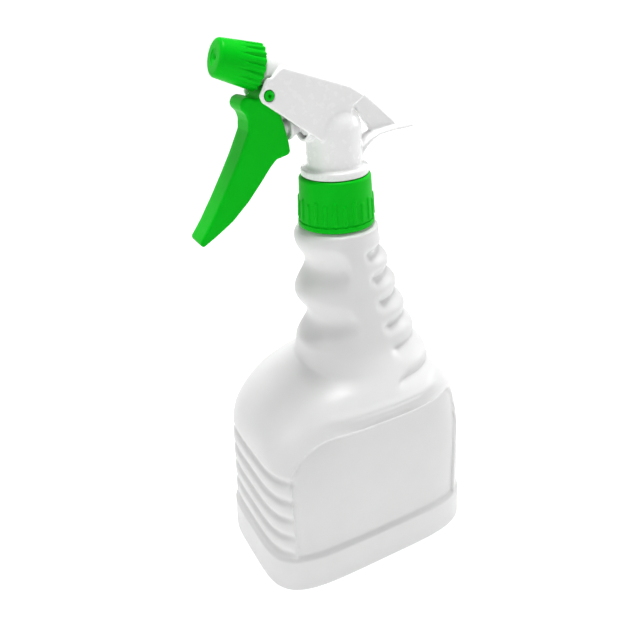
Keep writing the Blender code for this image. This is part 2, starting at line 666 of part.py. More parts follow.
def trigger_outline():
    return raised([
        (-39.4, 34.8), (-41.2, 34.0), (-42.3, 32.2), (-42.0, 30.4), (-40.2, 28.4), (-39.5, 25.8),
        (-39.9, 22.0), (-44.5, 13.0), (-49.1, 5.2), (-54.4, -3.4), (-59.9, -11.7), (-64.3, -17.5),
        (-64.6, -18.9), (-63.2, -19.8), (-57.2, -16.4), (-49.9, -11.8), (-42.3, -5.0), (-36.0, 2.0),
        (-31.6, 7.2), (-29.0, 9.6), (-23.6, 10.8), (-22.7, 11.8), (-23.1, 15.4), (-24.6, 22.4),
        (-26.4, 28.5), (-27.8, 32.8), (-28.3, 36.0), (-29.8, 37.6), (-31.6, 37.7), (-32.7, 36.3),
        (-34.0, 34.0), (-35.4, 33.5), (-37.2, 34.3),
    ])


def make_trigger():
    """A lever, open at the back, that turns on two stub pins."""
    trigger = prism("trigger", trigger_outline(), TRIGGER_HALF_WIDTH, GREEN, origin=PIVOT, bevel=0.8)
    inside = TRIGGER_HALF_WIDTH - TRIGGER_WALL
    pad = PISTON_NOSE_X - GAP
    handle = prism("trigger_hollow", raised([
        (-36.5, 10.5), (-42.4, 8.5), (-46.6, 3.4), (-52.0, -5.0), (-57.6, -12.7), (-59.4, -15.4), (-55.0, -24.0),
        (-30.0, -8.0), (-24.0, 6.0),
    ]), inside, bevel=0.6)
    nest = prism("trigger_nest", [
        (pad, PUMP_Z - 7.8), (pad + 2.0, PUMP_Z - 8.0), (-15.0, PUMP_Z - 12.0), (-15.0, PUMP_Z + 5.5),
        (pad, PUMP_Z + 5.5),
    ], inside, bevel=0.6)
    pins = turned("trigger_pins", [
        (PIVOT_RADIUS - 0.3, -SHROUD_HALF_WIDTH - 0.3), (PIVOT_RADIUS, -SHROUD_HALF_WIDTH),
        (PIVOT_RADIUS, SHROUD_HALF_WIDTH), (PIVOT_RADIUS - 0.3, SHROUD_HALF_WIDTH + 0.3),
    ], GREEN, 24, pivot_frame(), closed=False)
    joined(trigger, pins)
    dimples = []
    for side in (-1.0, 1.0):
        low, high = sorted((side * (SHROUD_HALF_WIDTH - 1.2), side * (SHROUD_HALF_WIDTH + 3.0)))
        dimples.append(plug(f"pin_dimple_{side:+.0f}", PIVOT_RADIUS * 0.35, low, high, pivot_frame(), 12))
    return cut(trigger, handle, nest, *dimples)


def piston_x():
    """Where the piston's inner face stands at rest."""
    return PUMP_END - PISTON_STROKE - SPRING_TURNS * 2.0 * SPRING_WIRE - 0.6


def make_piston():
    """Plunger: a round nose for the trigger, a flared skirt, a stem and two seal seats."""
    inner = piston_x()
    outer_seal = PUMP_MOUTH + 2.4
    seat = PISTON_STEM
    shoulder = PUMP_BORE - 1.0
    land = 0.9
    nose = [
        (PISTON_NOSE * math.sin(a), PISTON_NOSE_X + PISTON_NOSE * (1.0 - math.cos(a)))
        for a in (0.15, 0.5, 0.85, 1.2, math.pi / 2.0)
    ]
    flare = PUMP_MOUTH - PISTON_STROKE - 1.1
    profile = nose + [
        (PISTON_NOSE, flare - 0.9), (PISTON_FLARE - 0.3, flare - 0.9), (PISTON_FLARE, flare - 0.4),
        (PISTON_FLARE, flare), (PISTON_STEM, flare + 4.2), (PISTON_STEM, outer_seal - land - GAP),
        (shoulder, outer_seal - land - GAP), (shoulder, outer_seal - GAP), (seat, outer_seal - GAP),
        (seat, outer_seal + SEAL_THICKNESS + GAP), (shoulder, outer_seal + SEAL_THICKNESS + GAP),
        (shoulder, inner - 2.0 * GAP - SEAL_THICKNESS - land), (seat, inner - 2.0 * GAP - SEAL_THICKNESS - land),
        (seat, inner - land), (shoulder, inner - land), (shoulder, inner),
    ]
    origin = (PISTON_NOSE_X, 0.0, PUMP_Z)
    turned("piston", profile, WHITE, 24, PUMP, closed=False, origin=origin)
    make_seal("piston_vent_seal", outer_seal)
    make_seal("piston_cup_seal", inner - land - GAP - SEAL_THICKNESS)


def make_seal(name, start):
    bore, outside = PISTON_STEM + GAP, PUMP_BORE - 0.1
    end = start + SEAL_THICKNESS
    profile = [(outside, start), (outside - 0.3, end), (bore, end), (bore, start)]
    turned(name, profile, RUBBER, 32, PUMP, origin=(start, 0.0, PUMP_Z))


def make_return_spring():
    low, high = piston_x() + GAP, PUMP_END - GAP
    coil("return_spring", PUMP_BORE - 1.6, SPRING_WIRE, SPRING_TURNS, low, high, STEEL, PUMP, (high, 0.0, PUMP_Z))


def along_nozzle(s):
    return NOZZLE @ Vector((0.0, 0.0, s))


def make_outlet_valve():
    """Seat, ball and light spring that let water out and no air back in."""
    seat_high = -VALVE_DEPTH + 3.0
    rim = VALVE_BORE - 0.15
    turned("valve_seat", [
        (rim, -VALVE_DEPTH + GAP), (rim, seat_high), (BALL_RADIUS, seat_high), (DELIVERY_BORE - 0.5, seat_high - 1.6),
        (DELIVERY_BORE - 0.5, -VALVE_DEPTH + GAP),
    ], NATURAL, 24, NOZZLE)
    rest = seat_high + 0.5
    ball("outlet_ball", along_nozzle(rest))
    low, high = rest + BALL_RADIUS + GAP, SPIGOT_LENGTH - 4.6 - GAP
    coil("outlet_spring", 1.6, 0.25, 6, low, high, STEEL, NOZZLE, along_nozzle(high))


def make_swirl_insert():
    """Spinner pushed into the spigot's mouth: two side channels feed the swirl chamber."""
    low, high = SPIGOT_LENGTH - 4.6, SPIGOT_LENGTH - 0.1
    rim = VALVE_BORE - 0.15
    insert = turned("swirl_insert", [
        (rim - 0.3, low), (rim, low + 0.3), (rim, high - 0.3), (rim - 0.3, high),
    ], NATURAL, 24, NOZZLE, closed=False)
    channels = []
    for side in (-1.0, 1.0):
        channel = prism(f"swirl_channel_{side:+.0f}", box_outline(-0.45, 0.45, low - 1.0, high + 1.0), 0.5)
        channel.data.transform(Matrix.Translation((0.0, side * rim * MM, 0.0)))
        channel.matrix_world = Matrix.Translation(NOZZLE.translation * MM) @ NOZZLE.to_3x3().to_4x4()
        channels.append(channel)
    return cut(insert, *channels)


def make_nozzle_seals():
    groove = SPIGOT_LENGTH - 2.9
    middle = SPIGOT_RADIUS - 0.8 + 0.1 + SEAL_RING_WIRE
    sides = 8
    profile = [
        (middle + SEAL_RING_WIRE * math.cos(a), groove + SEAL_RING_WIRE * math.sin(a))
        for a in (2.0 * math.pi * k / sides for k in range(sides))
    ]
    turned("nozzle_seal_ring", profile, RUBBER, 24, NOZZLE, origin=along_nozzle(groove))
    low = washer_low()
    high = low + WASHER_THICKNESS
    turned("nozzle_washer", [(CAP_BORE - 0.7, low), (CAP_BORE - 0.7, high), (1.4, high), (1.4, low)],
           RUBBER, 32, NOZZLE, origin=along_nozzle(low))


def washer_low():
    return CAP_LENGTH - CAP_FACE - GAP - WASHER_THICKNESS


def make_nozzle_cap():
    """Fluted cap: its flutes start as points and widen to the rear rim, and it screws on the spigot."""
    count = CAP_FLUTES * 3
    taper = (CAP_REAR_RADIUS - CAP_FRONT_RADIUS) / (CAP_LENGTH - CAP_FRONT_ROUND)
    plain = CAP_LENGTH * 0.66
    levels = [(0.0, 0.5), (0.5, 0.0), (plain * 0.27, 0.0), (plain * 0.54, 0.0), (plain * 0.81, 0.0), (plain, 0.0),
              (CAP_LENGTH - CAP_FRONT_ROUND, 0.0), (CAP_LENGTH - 0.45, 0.45), (CAP_LENGTH, CAP_FRONT_ROUND)]
    rings = []
    for s, inset in levels:
        radius = CAP_REAR_RADIUS - taper * min(s, CAP_LENGTH - CAP_FRONT_ROUND) - inset
        depth = CAP_FLUTE_DEPTH * max(0.0, 1.0 - s / plain) ** 0.6 if s >= 0.5 else 0.0
        ring = []
        for i in range(count):
            angle = 2.0 * math.pi * i / count
            r = radius - depth * (0.5 - 0.5 * math.cos(angle * CAP_FLUTES))
            ring.append((r * math.cos(angle), r * math.sin(angle), s))
        rings.append(ring)
    face = CAP_LENGTH - CAP_FACE
    for radius, s in (
        (ORIFICE_RADIUS + 0.9, CAP_LENGTH), (ORIFICE_RADIUS, CAP_LENGTH - 0.7), (ORIFICE_RADIUS, face),
        (CAP_BORE - 0.4, face), (CAP_BORE - 0.4, SPIGOT_LENGTH - 4.0), (CAP_BORE, SPIGOT_LENGTH - 4.6), (CAP_BORE, 0.0),
    ):
        rings.append(circle(radius, s, count))
    cap = solid("nozzle_cap", rings, GREEN, closed=True, frame=NOZZLE, origin=along_nozzle(0.0))
    thread = helix_ridge(
        "cap_thread", CAP_BORE, -NOZZLE_THREAD_DEPTH, NOZZLE_PITCH, NOZZLE_THREAD_TURNS,
        NOZZLE_THREAD_START - NOZZLE_PITCH / 2.0, 0.9, 0.4, NOZZLE, 16,
    )
    return joined(cap, thread)


def make_suction_ball():
    ball("suction_ball", Vector((0.0, 0.0, suction_seat() + BALL_RADIUS + 0.75)))


def main():
    clear_scene()
    make_bottle()
    make_collar()
    make_gasket()
    make_retainer()
    make_suction_ball()
    make_dip_tube()
    make_strainer()
    make_head()
    make_trigger()
    make_piston()
    make_return_spring()
    make_outlet_valve()
    make_swirl_insert()
    make_nozzle_seals()
    make_nozzle_cap()


main()
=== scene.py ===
"""Looks of the trigger spray bottle: fine skins for its outer pieces, and a finish for every piece.

Sizes of shapes are millimetres, brought to metres by MM, and the studio is in metres. +Z is up along the neck
and the nozzle points along -X.
"""

from __future__ import annotations

import logging
import math
from dataclasses import dataclass, field
from enum import Enum

import bmesh
import bpy
import numpy as np
from mathutils import Matrix, Vector


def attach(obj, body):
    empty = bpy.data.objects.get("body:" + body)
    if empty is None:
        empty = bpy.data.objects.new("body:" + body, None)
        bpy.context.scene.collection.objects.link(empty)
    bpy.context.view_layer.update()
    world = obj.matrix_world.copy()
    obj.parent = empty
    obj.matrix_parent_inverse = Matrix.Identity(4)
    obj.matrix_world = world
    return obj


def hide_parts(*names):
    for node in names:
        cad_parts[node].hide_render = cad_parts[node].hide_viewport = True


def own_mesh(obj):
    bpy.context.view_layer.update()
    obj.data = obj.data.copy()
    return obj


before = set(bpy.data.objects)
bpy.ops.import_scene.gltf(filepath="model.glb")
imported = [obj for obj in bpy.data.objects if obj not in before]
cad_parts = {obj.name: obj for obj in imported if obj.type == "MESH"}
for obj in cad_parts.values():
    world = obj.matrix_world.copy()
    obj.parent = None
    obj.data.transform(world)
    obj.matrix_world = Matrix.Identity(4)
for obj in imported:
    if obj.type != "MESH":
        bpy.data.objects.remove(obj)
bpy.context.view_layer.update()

LOG = logging.getLogger("spray_bottle")
MM = 0.001
TURN = 2.0 * math.pi
SHARP_EDGE = math.radians(38.0)
THREAD_PITCH = 4.2
THREAD_RISE = 1.1
THREAD_TURNS = 1.5
THREAD_RUN_OUT = 0.12
Colour = tuple[float, float, float]
Point = tuple[float, float, float]
Span = tuple[float, float]
Stations = list[tuple[float, float]]
THREAD_FLANK: Span = (0.35, 0.75)
NOZZLE_WAY: Point = (-0.9510565, 0.0, 0.3090170)


class Body(Enum):
    """The moving groups that pieces ride on."""

    BOTTLE = "bottle"
    COLLAR = "collar"
    HEAD = "head"
    TRIGGER = "trigger"
    PISTON = "piston"
    NOZZLE_CAP = "nozzle_cap"


class Slot(Enum):
    """Names of the bottle's material slots."""

    BOTTLE = "bottle"
    GREEN = "green_plastic"
    WHITE = "white_plastic"
    STEEL = "steel"


# ---------------------------------------------------------------- shape helpers


def glide(stations: Stations, at: np.ndarray) -> np.ndarray:
    """Smooth curve through stations that never overshoots them: a cubic between each two neighbours.

    Args:
        stations: (place, value) pairs in rising order of place.
        at: places to read.

    Returns:
        The curve's values there.
    """
    places, values = np.array(stations, float).T
    steps = np.diff(values) / np.diff(places)
    slopes = np.concatenate([steps[:1], (steps[1:] + steps[:-1]) / 2.0, steps[-1:]])
    slopes[1:-1][steps[1:] * steps[:-1] <= 0.0] = 0.0
    steepest = 3.0 * np.minimum(np.abs(np.append(steps, steps[-1])), np.abs(np.insert(steps, 0, steps[0])))
    slopes = np.clip(slopes, -steepest, steepest)
    at = np.clip(at, places[0], places[-1])
    k = np.clip(np.searchsorted(places, at, "right") - 1, 0, len(places) - 2)
    width = places[k + 1] - places[k]
    t = (at - places[k]) / width
    return (
        values[k] * (1 + 2 * t) * (1 - t) ** 2
        + slopes[k] * width * t * (1 - t) ** 2
        + values[k + 1] * t * t * (3 - 2 * t)
        + slopes[k + 1] * width * t * t * (t - 1)
    )


def ease(value: np.ndarray, low: float, high: float) -> np.ndarray:
    """Smooth step: 0 below low, 1 above high, and three t squared less two t cubed between."""
    t = np.clip((value - low) / (high - low), 0.0, 1.0)
    return t * t * (3.0 - 2.0 * t)


def grid_mesh(name: str, points: np.ndarray, wrapped: bool, capped: bool) -> bpy.types.Object:
    """Makes a mesh from a grid of points whose rows are closed rings.

    Args:
        name: piece name.
        points: array of shape (rings, places round, 3).
        wrapped: whether the last ring joins the first, as on a torus.
        capped: whether the first and last rings are filled.

    Returns:
        The new object, shaded smooth except at sharp corners.
    """
    rings, around, _ = points.shape
    index = np.arange(rings * around).reshape(rings, around)
    upper = np.roll(index, -1, axis=0) if wrapped else index[1:]
    lower = index if wrapped else index[:-1]
    quads = np.stack([lower, np.roll(lower, -1, 1), np.roll(upper, -1, 1), upper], axis=-1).reshape(-1, 4)
    faces = quads.tolist()
    if capped:
        faces += [index[0][::-1].tolist(), index[-1].tolist()]
    mesh = bpy.data.meshes.new(name)
    mesh.from_pydata(points.reshape(-1, 3).tolist(), [], faces)
    return finished(name, mesh)


def finished(name: str, mesh: bpy.types.Mesh) -> bpy.types.Object:
    """Merges doubles, turns the faces outwards, shades smooth and links the mesh at the origin.

    Args:
        name: piece name.
        mesh: mesh to finish.

    Returns:
        The new object.
    """
    bm = bmesh.new()
    bm.from_mesh(mesh)
    bmesh.ops.remove_doubles(bm, verts=bm.verts, dist=1e-7)
    bmesh.ops.recalc_face_normals(bm, faces=bm.faces)
    bm.to_mesh(mesh)
    bm.free()
    mesh.shade_smooth()
    mesh.set_sharp_from_angle(angle=SHARP_EDGE)
    piece = bpy.data.objects.new(name, mesh)
    bpy.context.scene.collection.objects.link(piece)
    return piece


def angles(around: int) -> np.ndarray:
    """Even angles round one turn, as a row."""
    return np.linspace(0.0, TURN, around, endpoint=False)[None, :]


def ringed(radius: np.ndarray, angle: np.ndarray, height: np.ndarray) -> np.ndarray:
    """Points round Z: radius by the angle's cosine and sine, at each row's height."""
    return np.stack([radius * np.cos(angle), radius * np.sin(angle), np.broadcast_to(height, radius.shape)], axis=-1)


def turned(profile: Stations, around: int) -> np.ndarray:
    """Points of a profile carried round Z.

    Args:
        profile: (radius, height) pairs.
        around: places round.

    Returns:
        Points of shape (pairs, around, 3).
    """
    radius, height = np.array(profile, float).T[..., None]
    return ringed(np.repeat(radius, around, axis=1), angles(around), height)


def thread_ridge(z: np.ndarray, angle: np.ndarray, start: float) -> np.ndarray:
    """How high the thread of the neck and collar stands, as a share of its rise.

    The ridge climbs one pitch in each turn. Its height is one less a smooth step in the distance from the
    ridge's middle, and it fades in and out at its two ends.

    Args:
        z: heights, as a column.
        angle: angles, as a row.
        start: height where the thread starts.

    Returns:
        The share at each point, from 0 to 1.
    """
    climbed = (z - start) / THREAD_PITCH - angle / TURN
    nearest = np.clip(np.round(climbed), 0.0, 1.0)
    turns = nearest + angle / TURN
    height = 1.0 - ease(np.abs(climbed - nearest) * THREAD_PITCH, *THREAD_FLANK)
    return height * ease(turns, 0.0, THREAD_RUN_OUT) * (1.0 - ease(turns, THREAD_TURNS - THREAD_RUN_OUT, THREAD_TURNS))


def placed(points: np.ndarray, place: Matrix) -> np.ndarray:
    """The points taken through a placing matrix."""
    turn = np.array(place.to_3x3())
    return points @ turn.T + np.array(place.translation)


def softened_copy(node: str, name: str, grain: float, passes: int) -> bpy.types.Object:
    """Fine skin over a node's shape, with the small rounding that a mould leaves on edges and in corners.

    Args:
        node: node whose shape is followed.
        name: piece name.
        grain: size of the skin's facets, in metres.
        passes: how often the skin is relaxed; each pass rounds edges a little more.

    Returns:
        The new object.
    """
    piece = finished(name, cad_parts[node].data.copy())
    piece.data.materials.clear()
    skin = piece.modifiers.new("Skin", "REMESH")
    skin.mode = "VOXEL"
    skin.voxel_size = grain
    skin.use_smooth_shade = True
    relax = piece.modifiers.new("Relax", "SMOOTH")
    relax.factor = 0.5
    relax.iterations = passes
    return piece


# ---------------------------------------------------------------- finishes


class Nodes:
    """Short way to build a material's node tree."""

    def __init__(self, name: str) -> None:
        """Starts a material whose shader is bare.

        Args:
            name: material name.
        """
        self.made = bpy.data.materials.new(name)
        self.made.use_nodes = True
        self.tree = self.made.node_tree
        self.shader = self.tree.nodes["Principled BSDF"]
        self.place = self.tree.nodes.new("ShaderNodeTexCoord").outputs["Object"]

    def link(self, source: bpy.types.NodeSocket, target: bpy.types.NodeSocket) -> None:
        """Joins two sockets."""
        self.tree.links.new(source, target)

    def noise(self, scale: float, detail: float, stretch: Point = (1.0, 1.0, 1.0)) -> bpy.types.NodeSocket:
        """Noise over the piece's place.

        Args:
            scale: cells in a metre.
            detail: how many finer layers it has.
            stretch: scale along each axis.

        Returns:
            Its value, around a half.
        """
        mapping = self.tree.nodes.new("ShaderNodeMapping")
        mapping.inputs["Scale"].default_value = stretch
        self.link(self.place, mapping.inputs["Vector"])
        noise = self.tree.nodes.new("ShaderNodeTexNoise")
        noise.inputs["Scale"].default_value = scale
        noise.inputs["Detail"].default_value = detail
        self.link(mapping.outputs["Vector"], noise.inputs["Vector"])
        return noise.outputs["Fac"]

    def spread(self, value: bpy.types.NodeSocket, low: float, high: float) -> bpy.types.NodeSocket:
        """Spreads a noise's middle range.

        Args:
            value: the noise.
            low: result at the range's low end.
            high: result at its high end.

        Returns:
            The spread value.
        """
        spread = self.tree.nodes.new("ShaderNodeMapRange")
        spread.inputs["From Min"].default_value = 0.3
        spread.inputs["From Max"].default_value = 0.7
        spread.inputs["To Min"].default_value = low
        spread.inputs["To Max"].default_value = high
        self.link(value, spread.inputs["Value"])
        return spread.outputs["Result"]

    def blend(self, share: bpy.types.NodeSocket, first: Colour, second: Colour) -> bpy.types.NodeSocket:
        """Blends two colours.

        Args:
            share: how far from the first to the second, from 0 to 1.
            first: colour at 0.
            second: colour at 1.

        Returns:
            The blended colour.
        """
        ramp = self.tree.nodes.new("ShaderNodeValToRGB")
        ramp.color_ramp.elements[0].color = (*first, 1.0)
        ramp.color_ramp.elements[1].color = (*second, 1.0)
        self.link(share, ramp.inputs["Fac"])
        return ramp.outputs["Color"]

    def bump(self, heights: list[tuple[bpy.types.NodeSocket, float]]) -> None:
        """Lays bumps on the shader.

        Args:
            heights: each bump's height and its depth in metres.
        """
        normal = None
        for height, depth in heights:
            bump = self.tree.nodes.new("ShaderNodeBump")
            bump.inputs["Distance"].default_value = depth
            self.link(height, bump.inputs["Height"])
            if normal is not None:
                self.link(normal, bump.inputs["Normal"])
            normal = bump.outputs["Normal"]
        self.link(normal, self.shader.inputs["Normal"])


@dataclass(frozen=True)
class MouldedPlastic:
    """Injection or blow moulded plastic: slightly uneven colour and gloss over a fine surface grain.

    Args:
        name: material name.
        colour: main colour.
        shade: colour of its denser patches.
        roughness: middle roughness.
        unevenness: how far roughness strays.
        grain_depth: depth of the fine grain, in metres.
        flow_depth: depth of the wide, soft waves that a mould leaves, in metres.
        milkiness: share of light that wanders under the surface.
        coat: strength of the clear skin.
        sheen_level: level of the mirror-like share, where 0.5 is the plain one.
    """

    name: str
    colour: Colour
    shade: Colour
    roughness: float
    unevenness: float = 0.05
    grain_depth: float = 4e-6
    flow_depth: float = 4e-5
    milkiness: float = 0.0
    coat: float = 0.0
    sheen_level: float = 0.5

    def material(self) -> bpy.types.Material:
        """Makes the material.

        Returns:
            The new material.
        """
        nodes = Nodes(self.name)
        shader = nodes.shader
        patches = nodes.spread(nodes.noise(55.0, 3.0), 0.0, 1.0)
        nodes.link(nodes.blend(patches, self.colour, self.shade), shader.inputs["Base Color"])
        dullest, glossiest = self.roughness + self.unevenness, self.roughness - self.unevenness
        nodes.link(nodes.spread(nodes.noise(420.0, 4.0), glossiest, dullest), shader.inputs["Roughness"])
        nodes.bump([(nodes.noise(70.0, 1.0), self.flow_depth), (nodes.noise(3500.0, 2.0), self.grain_depth)])
        shader.inputs["IOR"].default_value = 1.5
        shader.inputs["Specular IOR Level"].default_value = self.sheen_level
        shader.inputs["Coat Weight"].default_value = self.coat
        shader.inputs["Coat Roughness"].default_value = 0.2
        if self.milkiness:
            shader.inputs["Subsurface Weight"].default_value = self.milkiness
            shader.inputs["Subsurface Radius"].default_value = (1.0, 0.9, 0.8)
            shader.inputs["Subsurface Scale"].default_value = 0.001
        return nodes.made


@dataclass(frozen=True)
class SealRubber:
    """Soft black rubber with a dry bloom."""

    name: str = "seal_rubber"

    def material(self) -> bpy.types.Material:
        """Makes the material.

        Returns:
            The new material.
        """
        nodes = Nodes(self.name)
        bloom = nodes.spread(nodes.noise(260.0, 5.0), 0.0, 1.0)
        nodes.link(nodes.blend(bloom, (0.018, 0.018, 0.019), (0.045, 0.045, 0.047)), nodes.shader.inputs["Base Color"])
        nodes.link(nodes.spread(nodes.noise(900.0, 3.0), 0.55, 0.75), nodes.shader.inputs["Roughness"])
        nodes.bump([(nodes.noise(5000.0, 3.0), 8e-6)])
        return nodes.made


@dataclass(frozen=True)
class DrawnSteel:
    """Bright stainless wire and ball steel, with fine lines along one axis."""

    name: str = "drawn_steel"

    def material(self) -> bpy.types.Material:
        """Makes the material.

        Returns:
            The new material.
        """
        nodes = Nodes(self.name)
        lines = nodes.noise(900.0, 3.0, (1.0, 1.0, 8.0))
        nodes.link(
            nodes.blend(nodes.spread(lines, 0.0, 1.0), (0.55, 0.55, 0.56), (0.68, 0.68, 0.69)),
            nodes.shader.inputs["Base Color"],
        )
        nodes.link(nodes.spread(lines, 0.18, 0.32), nodes.shader.inputs["Roughness"])
        nodes.bump([(lines, 3e-6)])
        nodes.shader.inputs["Metallic"].default_value = 1.0
        return nodes.made


@dataclass
class Finishes:
    """One material for each finish of the bottle."""

    milk: bpy.types.Material = field(init=False)
    green: bpy.types.Material = field(init=False)
    white: bpy.types.Material = field(init=False)
    natural: bpy.types.Material = field(init=False)
    seal: bpy.types.Material = field(init=False)
    steel: bpy.types.Material = field(init=False)

    def __post_init__(self) -> None:
        """Makes the materials."""
        self.milk = MouldedPlastic(
            "milky_polyethylene", (0.72, 0.72, 0.72), (0.70, 0.70, 0.70), 0.40,
            unevenness=0.06, grain_depth=9e-6, flow_depth=8e-5, milkiness=0.04,
        ).material()
        self.green = MouldedPlastic(
            "green_polypropylene", (0.0, 0.51, 0.010), (0.0, 0.48, 0.008), 0.42,
            grain_depth=5e-6, flow_depth=2e-5, sheen_level=0.06,
        ).material()
        self.white = MouldedPlastic(
            "white_polypropylene", (0.84, 0.84, 0.84), (0.82, 0.82, 0.82), 0.25,
            grain_depth=2e-6, flow_depth=1.5e-5, coat=0.3,
        ).material()
        self.natural = MouldedPlastic(
            "natural_polyethylene", (0.68, 0.68, 0.66), (0.63, 0.63, 0.61), 0.40,
            unevenness=0.06, grain_depth=5e-6, flow_depth=3e-5, milkiness=0.3,
        ).material()
        self.seal = SealRubber().material()
        self.steel = DrawnSteel().material()


def dressed(piece: bpy.types.Object, body: Body, slot: Slot, material: bpy.types.Material, *nodes: str) -> None:
    """Gives a new piece its finish and its place in the model.

    Args:
        piece: the new piece.
        body: body that it rides on.
        slot: its material slot; not used.
        material: its finish.
        nodes: nodes that it stands for.
    """
    piece.data.materials.clear()
    piece.data.materials.append(material)
    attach(piece, body.value)
    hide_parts(*nodes)
    LOG.info("%s: %d faces on %s", piece.name, len(piece.data.polygons), body.value)


def repainted(node: str, material: bpy.types.Material) -> None:
    """Gives a kept node its finish.

    Args:
        node: the node.
        material: its finish.
    """
    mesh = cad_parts[node].data
    mesh.materials.clear()
    mesh.materials.append(material)
    LOG.info("%s: kept, finished in %s", node, material.name)


# ---------------------------------------------------------------- bottle


@dataclass
class Bottle:
    """Blow moulded bottle: squarish body with front ribs and label panels, round shoulder, grooved grip, neck."""

    length: float = 115.0
    depth: float = 76.8
    shoulder: float = 92.0
    skirt_height: float = 20.4
    skirt_step: float = 0.9
    foot_round: float = 3.5
    neck_foot: float = 172.5
    neck_radius: float = 12.6
    mouth: float = 188.6
    grip_front: float = 21.0
    grip_back_foot: float = 43.0
    grip_back_top: float = 21.4
    grip_half_depth: float = 19.5
    grip_top: float = 18.2
    ribs: int = 5
    rib_lowest: float = 25.0
    rib_pitch: float = 10.5
    rib_depth: float = 1.6
    finger_pitch: float = 26.4
    finger_depth: float = 6.0
    fingers: int = 2
    scallops: int = 5
    scallop_depth: float = 2.9
    rib_wrap: Span = (0.80, 0.93)
    groove_wrap: Span = (0.08, 0.62)
    scallop_wrap: Span = (0.10, 0.34)
    panel_half: float = 46.5
    panel_top: float = 88.0
    panel_corners: Span = (24.0, 9.0)
    panel_recess: float = 1.0
    bead_rise: float = 0.55
    bead_width: float = 0.8
    ridge_rise: float = 1.0
    ridge_width: float = 1.6
    ridge_offset: float = 7.0
    wall: float = 1.1
    around: int = 272

    def reaches(self, z: np.ndarray) -> tuple[np.ndarray, np.ndarray, np.ndarray, np.ndarray]:
        """Half-lengths and squareness of the outline at each height, each a smooth curve through its stations.

        Args:
            z: heights.

        Returns:
            Reach forwards, backwards and sideways from the neck's axis, and the superellipse's power.
        """
        level, half = self.shoulder, self.length / 2.0 - self.skirt_step
        depth, foot, top = self.depth / 2.0 - self.skirt_step, self.neck_foot, self.grip_top
        front = glide([
            (0.0, half), (level - 25.0, half * 0.936), (level - 12.0, half * 0.918), (level - 3.5, half * 0.84),
            (level + 4.5, half * 0.695), (level + 9.5, half * 0.557), (level + 12.0, half * 0.442),
            (level + 15.0, self.grip_front), (foot - 12.0, self.grip_front), (foot - 5.0, self.grip_front - 1.4),
            (foot - 1.5, top), (foot, top - 2.6),
        ], z)
        slope = (self.grip_back_foot - self.grip_back_top) / (foot - 12.0 - (level + 9.0))
        back = glide([
            (0.0, half), (level - 25.0, half * 0.945), (level - 7.0, half * 0.91), (level - 2.0, half * 0.866),
            (level + 3.0, half * 0.81), (level + 9.0, self.grip_back_foot),
            (level + 15.0, self.grip_back_foot - 6.0 * slope), (foot - 18.0, self.grip_back_top + 6.0 * slope),
            (foot - 12.0, self.grip_back_top), (foot - 6.0, top + 0.6), (foot - 1.5, top), (foot, top - 2.6),
        ], z)
        side = glide([
            (0.0, depth), (level - 7.0, depth), (level + 1.0, depth * 0.99), (level + 5.0, depth * 0.955),
            (level + 10.0, depth * 0.865), (level + 16.0, depth * 0.74), (level + 23.0, depth * 0.625),
            (level + 33.0, self.grip_half_depth * 1.1), (level + 48.0, self.grip_half_depth),
            (foot - 12.0, self.grip_half_depth * 0.95), (foot - 1.5, top), (foot, top - 2.6),
        ], z)
        power = glide([
            (0.0, 4.6), (level - 28.0, 4.6), (level - 12.0, 3.6), (level, 3.0), (level + 10.0, 2.6),
            (level + 23.0, 2.3), (foot - 8.0, 2.0), (foot, 2.0),
        ], z)
        return front, back, side, power

    def skirt(self, z: np.ndarray) -> np.ndarray:
        """How far the outline stands out at the skirt: a step that eases in over a ledge, less a quarter circle below.

        Args:
            z: heights.

        Returns:
            The distance at each height.
        """
        below = np.clip(self.foot_round - z, 0.0, self.foot_round)
        under = self.foot_round - np.sqrt(self.foot_round**2 - below**2)
        ledge = 1.0 - ease(z, self.skirt_height - 0.2, self.skirt_height + 1.0)
        return self.skirt_step * ledge - under

    def finger_grooves(self, z: np.ndarray) -> np.ndarray:
        """Depth of the finger grooves: a sine squared across each groove's pitch.

        Args:
            z: heights.

        Returns:
            The depth at each height.
        """
        middle = (self.neck_foot - 3.2 - z) / self.finger_pitch
        inside = (middle > 0.0) & (middle < self.fingers)
        return np.where(inside, self.finger_depth * np.sin(math.pi * middle) ** 2, 0.0)

    def front_ribs(self, z: np.ndarray) -> np.ndarray:
        """Depth of the valleys in the narrow front face: a raised cosine squared at each rib's pitch.

        Args:
            z: heights.

        Returns:
            The depth at each height.
        """
        place = (z - self.rib_lowest) / self.rib_pitch
        fade = ease(place, -0.5, -0.2) * (1.0 - ease(place, self.ribs - 0.8, self.ribs - 0.5))
        return self.rib_depth * fade * (0.5 + 0.5 * np.cos(TURN * place)) ** 2

    def scallop_notches(self, z: np.ndarray) -> np.ndarray:
        """Depth of the notches between the scallops: one less a power of the sine over each scallop.

        Args:
            z: heights.

        Returns:
            The depth at each height.
        """
        top, low = self.neck_foot - 12.0, self.shoulder + 9.0
        place = (top - z) / (top - low) * self.scallops
        fade = ease(place, -0.45, 0.0) * (1.0 - ease(place, self.scallops, self.scallops + 0.45))
        return self.scallop_depth * fade * (1.0 - np.abs(np.sin(math.pi * place)) ** 1.2)

